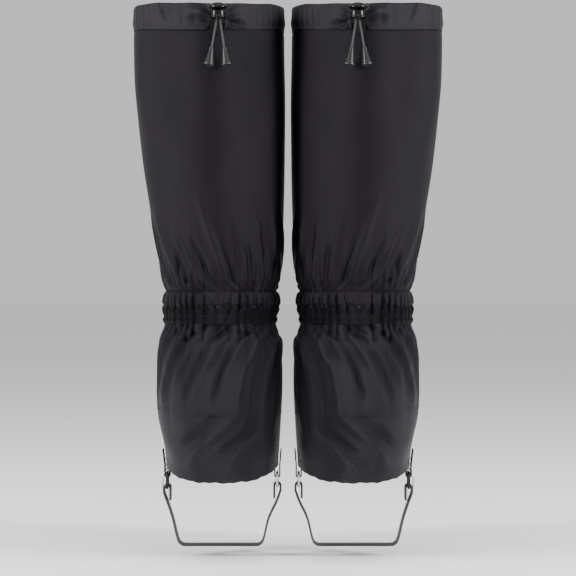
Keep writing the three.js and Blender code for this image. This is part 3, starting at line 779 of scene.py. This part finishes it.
def boot_panel(side):
    def centre(angle):
        low = kick_seam(angle) - 0.4
        z = between(low, BAND_LOW + 0.6, 72)
        return [(z, boot_offset(angle, z))]
    return folded(side + "_boot_cloth", side, AROUND, centre)


def kick_panel(side):
    """Runs up under the boot panel's edge, and is turned up at its own hem."""
    def centre(angle):
        low = boot_hem(angle) + 0.8 + 0.35 * sine(angle, 13) + 0.3 * sine(angle, 29)
        high = kick_seam(angle) + 1.0
        z = between(low, high, 46)
        face = boot_offset(angle, z) + 0.5 * np.exp(-(((z - low) / 3.0) ** 2))
        face = face - 0.45 * smooth(-3, 1, z - kick_seam(angle))
        turn = np.linspace(np.pi, 0, 6)[1:-1]
        inside = low + 9 * np.linspace(1, 0, 6)
        edge = face[:, :1]
        return [(inside, edge - 1.2), (low - 0.6 * np.sin(turn), edge - 0.6 + 0.6 * np.cos(turn)), (z, face)]
    return folded(side + "_kick_cloth", side, AROUND, centre, 0.55)


def seam_rows(side):
    """Thread of the seams on the fixed panels."""
    a = np.linspace(SLIT + 1.5, 359 - SLIT, 900)
    seams = [(hem_seam(a) + 2.2, hem_offset, 0.38), (BAND_LOW + 1.3, band_offset, 0.33),
             (BAND_LOW + 7.2, band_offset, 0.33), (kick_seam(a) + 1.6, boot_offset, 0.33),
             (kick_seam(a) + 4.4, boot_offset, 0.33), (boot_hem(a) + 7.5, boot_offset, 0.3)]
    return stitches(side + "_seam_thread",
                    [row_on_leg(side, a, z, surface(a, z) + proud) for z, surface, proud in seams])


# ---- front closure
FLAP_FROM, FLAP_TO = -20.0, 32.0
TAPE_FROM, TAPE_TO = 9.0, 28.0
TAPE_LOW, TAPE_HIGH = 268.0, 500.0
FLAP_SEAM, FLAP_FREE, FLAP_THICK = 2.2, 4.0, 1.0
UPPER_FLAP_LOW, LOWER_FLAP_HIGH = 250.0, 246.0
SNAP_ANGLE, TOP_SNAP, BOTTOM_SNAP = 20.0, 517.0, 104.0


def flap_offset(angle):
    t = np.minimum((np.asarray(angle, float) - FLAP_FROM) / (TAPE_FROM - FLAP_FROM), 1)
    return FLAP_SEAM + (FLAP_FREE - FLAP_SEAM) * t


def flap_face(angle, z):
    """Outer face of a flap: soft waves, with its turned edges a little thicker."""
    wave = 0.25 * np.sin(z * 0.045 + angle * 0.08) + 0.15 * np.sin(z * 0.11 - angle * 0.05)
    edge = 0.35 * smooth(FLAP_TO - 5.5, FLAP_TO - 4.5, angle)
    return flap_offset(angle) + FLAP_THICK * 0.75 + wave * smooth(-18, -8, angle) + edge


def flap(name, side, low, high, rows):
    angles = np.linspace(FLAP_FROM, FLAP_TO, 70)

    def centre(angle):
        corner = 3.0 * smooth(FLAP_TO - 4, FLAP_TO, angle) ** 2
        bottom, top = low(angle) + corner, high(angle) - corner
        z = between(bottom, top, rows)
        return [(z, flap_face(angle, z) - 0.35)]
    return folded(name, side, angles, centre, 0.7)


def flap_rows(name, side, low, high):
    def row(angle, z):
        a = np.full_like(z, angle)
        return row_on_leg(side, a, z, flap_face(a, z) + 0.1)
    edge = np.linspace(low + 9, high - 9, 240)
    rows = [row(a, edge) for inset in (1.6, 4.2) for a in (FLAP_TO - inset, FLAP_FROM + inset)]
    if high > TAPE_HIGH:
        along = np.linspace(TAPE_LOW + 1, TAPE_HIGH - 1, 240)
        rows += [row(a, along) for a in (TAPE_FROM + 1.5, TAPE_TO - 2.5)]
    return stitches(name, rows)


def tape(name, side, offset):
    z = np.linspace(TAPE_LOW, TAPE_HIGH, 90)
    return folded(name, side, np.linspace(TAPE_FROM, TAPE_TO, 26),
                  lambda a: [(z, 0 * z + offset)], 1.1)


def on_surface(side, angle, z, offset):
    place = on_leg(side, angle, z, offset)
    out = on_leg(side, angle, z, offset + 1) - place
    return Vector(place), Vector(out).normalized()


def snap(name, side, z, offset, profile):
    place, out = on_surface(side, SNAP_ANGLE, z, offset)
    return turned(name, rounded(profile, 0.5, 4), place, out, 40)


CAP_PROFILE = [(0, 0), (6.4, 0), (6.4, 0.8), (5.9, 1.3), (5.0, 1.5), (4.6, 1.2), (4.2, 1.5), (2.6, 2.1),
               (0, 2.3)]
STUD_PROFILE = [(0, 0), (4.1, 0), (4.1, 0.7), (2.6, 0.9), (2.4, 1.4), (2.8, 1.8), (0, 1.9)]


def lace_hook(side):
    z = float(boot_hem(0.0)) + 6
    at, out = on_surface(side, 0.0, z, float(flap_offset(0.0)) + 1.75)
    up = Vector(on_leg(side, 0.0, z + 10, 0.0) - on_leg(side, 0.0, z, 0.0)).normalized()
    path = [(16, 0), (9, 0), (2, 0.4), (-2.2, 2.4), (-2.9, 5.2), (-0.6, 8.6), (3.6, 10.6)]
    line = [tuple(at + (up * rise + out * reach) * MM) for rise, reach in path]
    plate = strip(side + "_hook_plate", line, (1, 0, 0), 14, 1.3, 50)
    rivets = []
    for dx in (-4.2, 4.2):
        place = at + up * 11 * MM + Vector((dx * MM, 0, 0)) + out * 0.3 * MM
        rivets.append(turned("rivet", rounded([(0, 0), (1.7, 0), (1.5, 0.7), (0, 1.0)], 0.3), place, out, 20))
    return merge(side + "_lace_hook_metal", [plate] + rivets)


# ---- cord lock and cords
LOCK_X, LOCK_BOTTOM = 1.2, 514.3
TUNNEL = -1.1  # the drawcord's depth in the hem
LOCK_RADIUS, LOCK_GAP = 8.5, 0.5
LOCK_Y = rear_y(LOCK_X, CORD_HEIGHT, 1.2) - LOCK_GAP - LOCK_RADIUS
CORD_Y = LOCK_Y + 5.1  # the cords run between the button's shaft and the hem
CORD_SPACING, CORD_BEND, CORD_RADIUS = 3.5, 3.0, 1.0
TAIL, IN_PULL, TAIL_DROP = 26.0, 10.0, 1.4  # a free end's length that shows and that is in the pull
TAIL_LEAN = {1: -9.5, -1: 8.5}  # degrees


def cord_x(way):
    return LOCK_X - way * CORD_SPACING / 2


def drawcord(side, way, name):
    """From the hem's front edge round one side of the leg, out at the back and down into the lock."""
    x = cord_x(way)
    round_leg = [outline(way * angle, CORD_HEIGHT, TUNNEL) for angle in np.arange(10, 180, 5)]
    points = [(px, py, CORD_HEIGHT) for px, py in round_leg if py > 0 or way * (x - px) > 2 * CORD_BEND]
    y = rear_y(x, CORD_HEIGHT, TUNNEL)
    turn_x = x - way * CORD_BEND
    points += [(turn_x, rear_y(turn_x, CORD_HEIGHT, TUNNEL), CORD_HEIGHT),
               (x - way * CORD_BEND * 0.3, y - CORD_BEND * 0.3, CORD_HEIGHT),
               (x, y - CORD_BEND, CORD_HEIGHT), (x, CORD_Y + 0.7, CORD_HEIGHT - 0.6),
               (x, CORD_Y, CORD_HEIGHT - 2.2), (x, CORD_Y, LOCK_BOTTOM - 0.2)]
    line = catmull([tuple(local(side, *p)) for p in points], 190)
    return tube(name + "_braid", line, CORD_RADIUS * MM, 12)


def tail_frame(side, way):
    """Where a free end starts, and the way it hangs."""
    start = local(side, cord_x(way), CORD_Y, LOCK_BOTTOM - TAIL_DROP)
    lean = math.tan(math.radians(TAIL_LEAN[way])) * (1 if side == "left" else -1)
    return start, Vector((lean, -2.8 / TAIL, -1)).normalized()


def tail(side, way, name, pull):
    """A free end: a cord from under the lock into its pull."""
    start, along = tail_frame(side, way)
    data = bpy.data.curves.new(side + "_tail", "CURVE")
    data.dimensions = "3D"
    data.bevel_depth = CORD_RADIUS * MM
    data.bevel_resolution = 5
    data.use_fill_caps = True
    length = (TAIL + IN_PULL) * MM
    steps = 24
    spline = data.splines.new("POLY")
    spline.points.add(steps - 1)
    for i, point in enumerate(spline.points):
        point.co = (*(start + along * length * i / (steps - 1)), 1)
    obj = new_object(name + "_free_cord", data)
    dress(obj, FREE_CORD, "cord", name + "_cord_end", name + "_cord_end")


def cord_pull(side, way, name):
    """A bell with a ribbed neck and a wide lip, closed by a flat cap."""
    start, along = tail_frame(side, way)
    profile = [(0, 9.6), (1.15, 9.6), (1.15, 0.5), (1.5, 0), (2.1, 0.1), (2.35, 0.6), (2.1, 1.1), (2.15, 1.7),
               (2.4, 2.2), (2.2, 2.7), (2.4, 3.6), (3.2, 8), (4.35, 13.6), (4.5, 14.6), (5.0, 15.1),
               (5.1, 15.6), (5.1, 16.6), (4.8, 17.1), (4.3, 17.2), (4.1, 16.7), (0, 16.6)]
    body = turned(name + "_bell", rounded(profile, 0.25, 3), start + along * TAIL * MM, along, 48)
    return dress(body, PULL, "pull_plastic", name + "_cord_end", name + "_cord_pull")


def lock_body(side):
    """A cup for the button's shaft, with a slot that both cords run through."""
    profile = [(0, 0), (7.0, 0), (7.8, 0.4), (7.9, 1.2), (7.6, 1.8), (7.25, 2.2), (7.35, 2.6), (7.4, 5.9),
               (7.1, 6.5), (3.2, 6.6), (3.1, 6.5), (3.1, 1.2), (0, 1.2)]
    body = turned(side + "_lock_shell", rounded(profile, 0.3, 4),
                  local(side, LOCK_X, LOCK_Y, LOCK_BOTTOM), (0, 0, 1), 64)
    centre = local(side, LOCK_X, CORD_Y, LOCK_BOTTOM)
    w, d, h = 3.5 * MM, 1.3 * MM, 20 * MM
    corners = [centre + Vector((x * w, y * d, z * h)) for x in (-1, 1) for y in (-1, 1) for z in (-1, 1)]
    cutter = make_mesh("slot", corners, [(0, 1, 3, 2), (4, 6, 7, 5), (0, 4, 5, 1), (2, 3, 7, 6), (0, 2, 6, 4),
                                         (1, 5, 7, 3)])
    cut = body.modifiers.new("slot", "BOOLEAN")
    cut.object = cutter
    cut.operation = "DIFFERENCE"
    cut.solver = "EXACT"
    bpy.context.view_layer.update()
    result = bpy.data.meshes.new_from_object(body.evaluated_get(bpy.context.evaluated_depsgraph_get()))
    body.modifiers.clear()
    body.data = result
    bpy.data.objects.remove(cutter)
    result.polygons.foreach_set("use_smooth", [True] * len(result.polygons))
    result.set_sharp_from_angle(angle=math.radians(40))
    return body


def lock_button(side):
    profile = [(0, 4.6), (2.6, 4.6), (2.6, 9.1), (7.9, 9.1), (8.4, 9.5)]
    profile += arc(0, 10.0, LOCK_RADIUS, 4.7, 0, 62, 12)
    profile += [(3.6, 14.25), (3.2, 14.05), (1.6, 13.9), (0, 13.85)]
    return turned(side + "_lock_dome", profile, local(side, LOCK_X, LOCK_Y, LOCK_BOTTOM), (0, 0, 1), 72)


def lock_spring(side):
    """A cone of two turns, which nest when the button is pressed."""
    radius, height, turn = between(2.2, 0.8, 90), between(2.1, 3.7, 90), between(0, 4 * np.pi, 90)
    line = [tuple(local(side, LOCK_X + r * math.cos(a), LOCK_Y + r * math.sin(a), LOCK_BOTTOM + h))
            for r, a, h in zip(radius, turn, height)]
    return tube(side + "_spring_wire", line, 0.3 * MM, 10)


def eyelet(side, way):
    x = LOCK_X - way * (CORD_SPACING / 2 + 1.4)
    y = rear_y(x, CORD_HEIGHT, 1.2)
    loop = [(1.5, -0.8), (1.5, 0.0), (1.8, 0.3), (2.5, 0.3), (2.9, 0.0), (2.9, -0.8)]
    k = 2 * np.pi * np.arange(32) / 32
    rings = [[tuple(local(side, x + r * math.cos(a), y - h, CORD_HEIGHT + r * math.sin(a))) for r, h in loop]
             for a in k]
    return loft("eyelet", rings, closed=True)


def cord_patch(side):
    """The webbing patch under the cords, sewn over the hem's edge."""
    z = np.linspace(500.5, 515.0, 18)
    return folded(side + "_cord_patch", side, np.linspace(183.0, 191.5, 14),
                  lambda a: [(z, np.maximum(hem_offset(a, z), leg_offset(a, z)) + 0.9)], 0.8)


# ---- side fittings and strap
STRAP_Y, STRAP_WIDTH = 30.0, 15.5
BAR_HEIGHT, WIRE = 83.0, 2.4
RING_HALF, RING_HEIGHT, BUCKLE_HEIGHT = 8.4, 13.0, 15.0
TAB_WIDTH, TAB_PLY = 9.0, 1.3
TAB_BOTTOM, TAB_TOP = 77.5, 106.0
BAR_REACH = WIRE * math.sqrt(0.5) + 0.3


def hem_x(way):
    """The boot hem's x at the strap, on the outer (-1) or the inner side (1)."""
    a, b, cx, cy = section(BOOT_HEM)
    return cx + way * a * math.sqrt(1 - ((STRAP_Y - cy) / b) ** 2)


def in_plane(side, points, y=STRAP_Y):
    return [tuple(local(side, x, y, z)) for x, z in points]


def webbing_tab(side, way, name):
    x = hem_x(way)
    a_top, _, x_top, _ = section(TAB_TOP)
    a_low, _, x_low, _ = section(BOOT_HEM)
    shift = way * (a_top - a_low) + x_top - x_low
    half = WIRE / 2 + 0.6 + TAB_PLY / 2
    fold = arc(x, TAB_BOTTOM + half + TAB_PLY / 2, half, half, 180, 360, 11)
    line = [(x - half + shift, TAB_TOP), (x - half + shift * 0.45, 98), (x - half, BOOT_HEM), *fold,
            (x + half, BOOT_HEM), (x + half + shift * 0.45, 98), (x + half + shift, TAB_TOP)]
    band = strip(name + "_loop", in_plane(side, line), (0, 1, 0), TAB_WIDTH, TAB_PLY, 130)
    out = way * (1 if side == "left" else -1)
    rows = []
    for z in (95.5, 99.0, 102.5):
        px = x + way * half + shift * (z - BOOT_HEM) / 16 + way * (TAB_PLY / 2 + 0.1)
        rows.append(([local(side, px, y, z) for y in np.linspace(STRAP_Y - 3.6, STRAP_Y + 3.6, 30)],
                     [(out, 0.0, 0.0)] * 30))
    return band, stitches(name + "_loop_thread", rows, 1.6, 0.5, 0.25)


def wire_ring(name, side, way, height):
    x = hem_x(way)
    w, r = RING_HALF + WIRE / 2, 2.6
    points = []
    corners = ((w - r, -r, 0), (r - w, -r, 90), (r - w, r - height, 180), (w - r, r - height, 270))
    for cy, cz, start in corners:
        points += arc(cy, cz, r, r, start, start + 90, 8)
    dense = []
    for p, q in zip(points, points[1:] + points[:1]):
        n = max(1, int(math.dist(p, q) / 1.2))
        dense += [(p[0] + (q[0] - p[0]) * k / n, p[1] + (q[1] - p[1]) * k / n) for k in range(n)]
    line = [tuple(local(side, x, STRAP_Y + cy, BAR_HEIGHT + cz)) for cy, cz in dense]
    return tube(name, line, WIRE / 2 * MM, 14, closed=True)


def buckle_prong(side):
    x = hem_x(-1)
    eye = BAR_REACH + 0.8
    reach = BAR_REACH + 2.0 + 0.3 + 0.8
    y = STRAP_Y + (TAB_WIDTH + 1.6) / 2 + 1.9
    line = arc(x, BAR_HEIGHT, eye, eye, -20, 160, 11)
    line += [(x - reach, BAR_HEIGHT - drop) for drop in (5, 11, BUCKLE_HEIGHT + WIRE)]
    path = catmull(in_plane(side, line, y), 60)
    size = np.full(60, 0.8 * MM)
    size[-6:] = np.linspace(0.8, 0.45, 6) * MM
    return tube(side + "_prong_wire", path, size, 12)


def underfoot_strap(side):
    left, right = hem_x(-1), hem_x(1)
    fold = BAR_REACH + 1.0
    outer_bar, inner_bar = BAR_HEIGHT - BUCKLE_HEIGHT, BAR_HEIGHT - RING_HEIGHT
    under = [(-47, 38), (-42, 18), (-38.4, 13.0), (-34, 12), (-17, 12)]
    line = [(left + fold, outer_bar - 12), (left + fold, outer_bar - 6)]
    line += arc(left, outer_bar, fold, fold, 0, 180, 11)
    line += [(left - fold, outer_bar - 5), (left + 1, outer_bar - 16), *under, (0, 12)]
    line += [(-x, z) for x, z in reversed(under)]
    line += [(right - 1, inner_bar - 16), (right + fold, inner_bar - 5)]
    line += arc(right, inner_bar, fold, fold, 0, 180, 11)
    line += [(right - fold, inner_bar - 6), (right - fold, inner_bar - 12)]
    return strip(side + "_strap_web", in_plane(side, line), (0, 1, 0), STRAP_WIDTH, 2.0, 260)


def strap_holes(side):
    """Rims of the strap's adjustment holes, in its outer run. The holes are dimples and don't go through."""
    parts = []
    left = hem_x(-1)
    out = Vector(((-1 if side == "left" else 1), 0, -0.2)).normalized()
    profile = rounded([(0, 0.05), (1.3, 0.05), (1.5, 0.35), (2.1, 0.35), (2.2, -0.1), (0, -0.1)], 0.1)
    for i in range(4):
        z = 44.0 - 5.4 * i  # along the run between the points of underfoot_strap
        x = np.interp(z, (18, 38, BAR_HEIGHT - BUCKLE_HEIGHT - 16), (-42, -47, left + 1))
        parts.append(turned("rim", profile, local(side, x - 1.0, STRAP_Y, z), out, 24))
    return merge(side + "_strap_rims", parts)


# ---- both gaiters
# In each function, n(name) is the name of a piece, body or joint on one side.
def add_fabric(side, n):
    calf = dress(leg_panel(side), LAMINATE, "laminate", "root", n("leg_panel"))
    hem = dress(top_hem(side), HEM, "laminate", "root", n("top_hem"))
    ankle = dress(ankle_band(side), BAND, "ballistic", "root", n("ankle_band"))
    calf_cloth_over(ankle)
    dress(ankle_elastic(side), ELASTIC, "elastic", "root", n("ankle_elastic"))
    boot = dress(boot_panel(side), BALLISTIC, "ballistic", "root", n("boot_panel"))
    kick = dress(kick_panel(side), BALLISTIC, "ballistic", "root", n("kick_panel"))
    dress(seam_rows(side), THREAD, "laminate", "root")
    patch = dress(cord_patch(side), WEBBING, "webbing", "root")


def add_front(side, n):
    upper = flap(n("upper_flap_cloth"), side, lambda a: UPPER_FLAP_LOW, lambda a: top_edge(a) - 6, 130)
    dress(upper, LAMINATE, "laminate", n("upper_flap"), n("upper_flap"))
    lower = flap(n("lower_flap_cloth"), side, lambda a: boot_hem(a) + 3, lambda a: LOWER_FLAP_HIGH, 80)
    dress(lower, BALLISTIC, "ballistic", n("lower_flap"), n("lower_flap"))
    dress(flap_rows(n("upper_flap_thread"), side, UPPER_FLAP_LOW, 526), THREAD, "laminate", n("upper_flap"))
    dress(flap_rows(n("lower_flap_thread"), side, 89, LOWER_FLAP_HIGH), THREAD, "laminate", n("lower_flap"))
    dress(tape(n("loop_pile"), side, 1.5), PILE, "hook_and_loop", "root", n("loop_tape"))
    dress(tape(n("hook_pile"), side, 3.1), PILE, "hook_and_loop", n("upper_flap"), n("hook_tape"))
    for end, z, wall, body in (("top", TOP_SNAP, 1.2, n("upper_flap")),
                               ("bottom", BOTTOM_SNAP, 0.6, n("lower_flap"))):
        cap = snap(n(end + "_cap"), side, z, 5.3, CAP_PROFILE)
        dress(cap, BLACK_METAL, "black_metal", body, n(end + "_snap_cap"))
        stud = snap(n(end + "_stud"), side, z, wall + 0.5, STUD_PROFILE)
        dress(stud, BLACK_METAL, "steel", "root", n(end + "_snap_stud"))
    dress(lace_hook(side), STEEL, "steel", n("lower_flap"), n("lace_hook"))


def add_drawcord(side, n):
    dress(lock_body(side), GLOSS, "gloss_plastic", n("cord_lock"), n("cord_lock_body"))
    dress(lock_button(side), GLOSS, "gloss_plastic", n("cord_lock_button"), n("cord_lock_button"))
    spring = dress(lock_spring(side), STEEL, "steel", n("cord_lock"), n("cord_lock_spring"))
    n("cord_lock_press")
    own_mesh(spring)
    for way, name in ((1, "outer"), (-1, "inner")):
        cord = drawcord(side, way, n(name))
        cord.data.materials.append(CORD)
        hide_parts(n(name + "_drawcord"))
        x = cord_x(way)
        inside, outside = (tuple(local(side, x, rear_y(x, CORD_HEIGHT, depth), CORD_HEIGHT))
                           for depth in (TUNNEL, 1.0))
        n("cord_lock")
        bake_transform(cord)
        dress(eyelet(side, way), BLACK_METAL, "black_metal", "root").name = n(name + "_eyelet")
        tail(side, way, n(name), cord_pull(side, way, n(name)))


def add_strap(side, n):
    for way, name in ((-1, "outer"), (1, "inner")):
        band, thread = webbing_tab(side, way, n(name))
        dress(band, WEBBING, "webbing", "root", n(name + "_tab"))
        dress(thread, THREAD, "webbing", "root")
    dress(wire_ring(n("ring_wire"), side, 1, RING_HEIGHT), STEEL, "steel", n("strap"), n("inner_ring"))
    frame_wire = wire_ring(n("frame_wire"), side, -1, BUCKLE_HEIGHT)
    dress(frame_wire, BLACK_METAL, "black_metal", n("strap"), n("buckle_frame"))
    dress(buckle_prong(side), STEEL, "steel", n("buckle_prong"), n("buckle_prong"))
    strap = dress(underfoot_strap(side), STRAP, "strap", n("strap"), n("underfoot_strap"))
    dress(strap_holes(side), STRAP, "strap", n("strap"))


# ---- camera, light and floor
def camera():
    """Level, square on to the back, as the photograph was taken."""
    data = bpy.data.cameras.new("camera")
    data.lens = 117.6
    data.sensor_width = 36.0
    obj = new_object("camera", data)
    obj.location = (0.0, -1.82, 0.264)
    obj.rotation_euler = (math.radians(90), 0, 0)
    bpy.context.scene.camera = obj


def area_light(name, place, aim, size, power):
    data = bpy.data.lights.new(name, "AREA")
    data.shape = "RECTANGLE"
    data.size, data.size_y = size
    data.energy = power
    obj = new_object(name, data)
    obj.location = place
    obj.rotation_euler = (Vector(aim) - Vector(place)).to_track_quat("-Z", "Y").to_euler()


def studio():
    world = bpy.data.worlds.new("studio")
    world.use_nodes = True
    sky = world.node_tree.nodes["Background"].inputs
    sky["Color"].default_value = (1, 1, 1, 1)
    sky["Strength"].default_value = 0.72
    bpy.context.scene.world = world
    middle = (0, 0, 0.3)
    area_light("left_key", (-1.9, -1.0, 0.9), middle, (0.5, 1.3), 95)
    area_light("right_key", (1.9, -1.0, 0.9), middle, (0.5, 1.3), 95)
    area_light("top_fill", (0, -0.6, 2.0), middle, (1.4, 0.8), 14)
    s = 30.0
    floor = make_mesh("floor", [(-s, -s, 0), (s, -s, 0), (s, s, 0), (-s, s, 0)], [(0, 1, 2, 3)])
    pale = material("pale_floor", lambda shade: None, 0.9)
    pale.node_tree.nodes["Principled BSDF"].inputs["Base Color"].default_value = (0.9, 0.9, 0.9, 1)
    floor.data.materials.append(pale)


camera()
studio()
for side in ("left", "right"):
    for add in (add_fabric, add_front, add_drawcord, add_strap):
        add(side, lambda name: side + "_" + name)
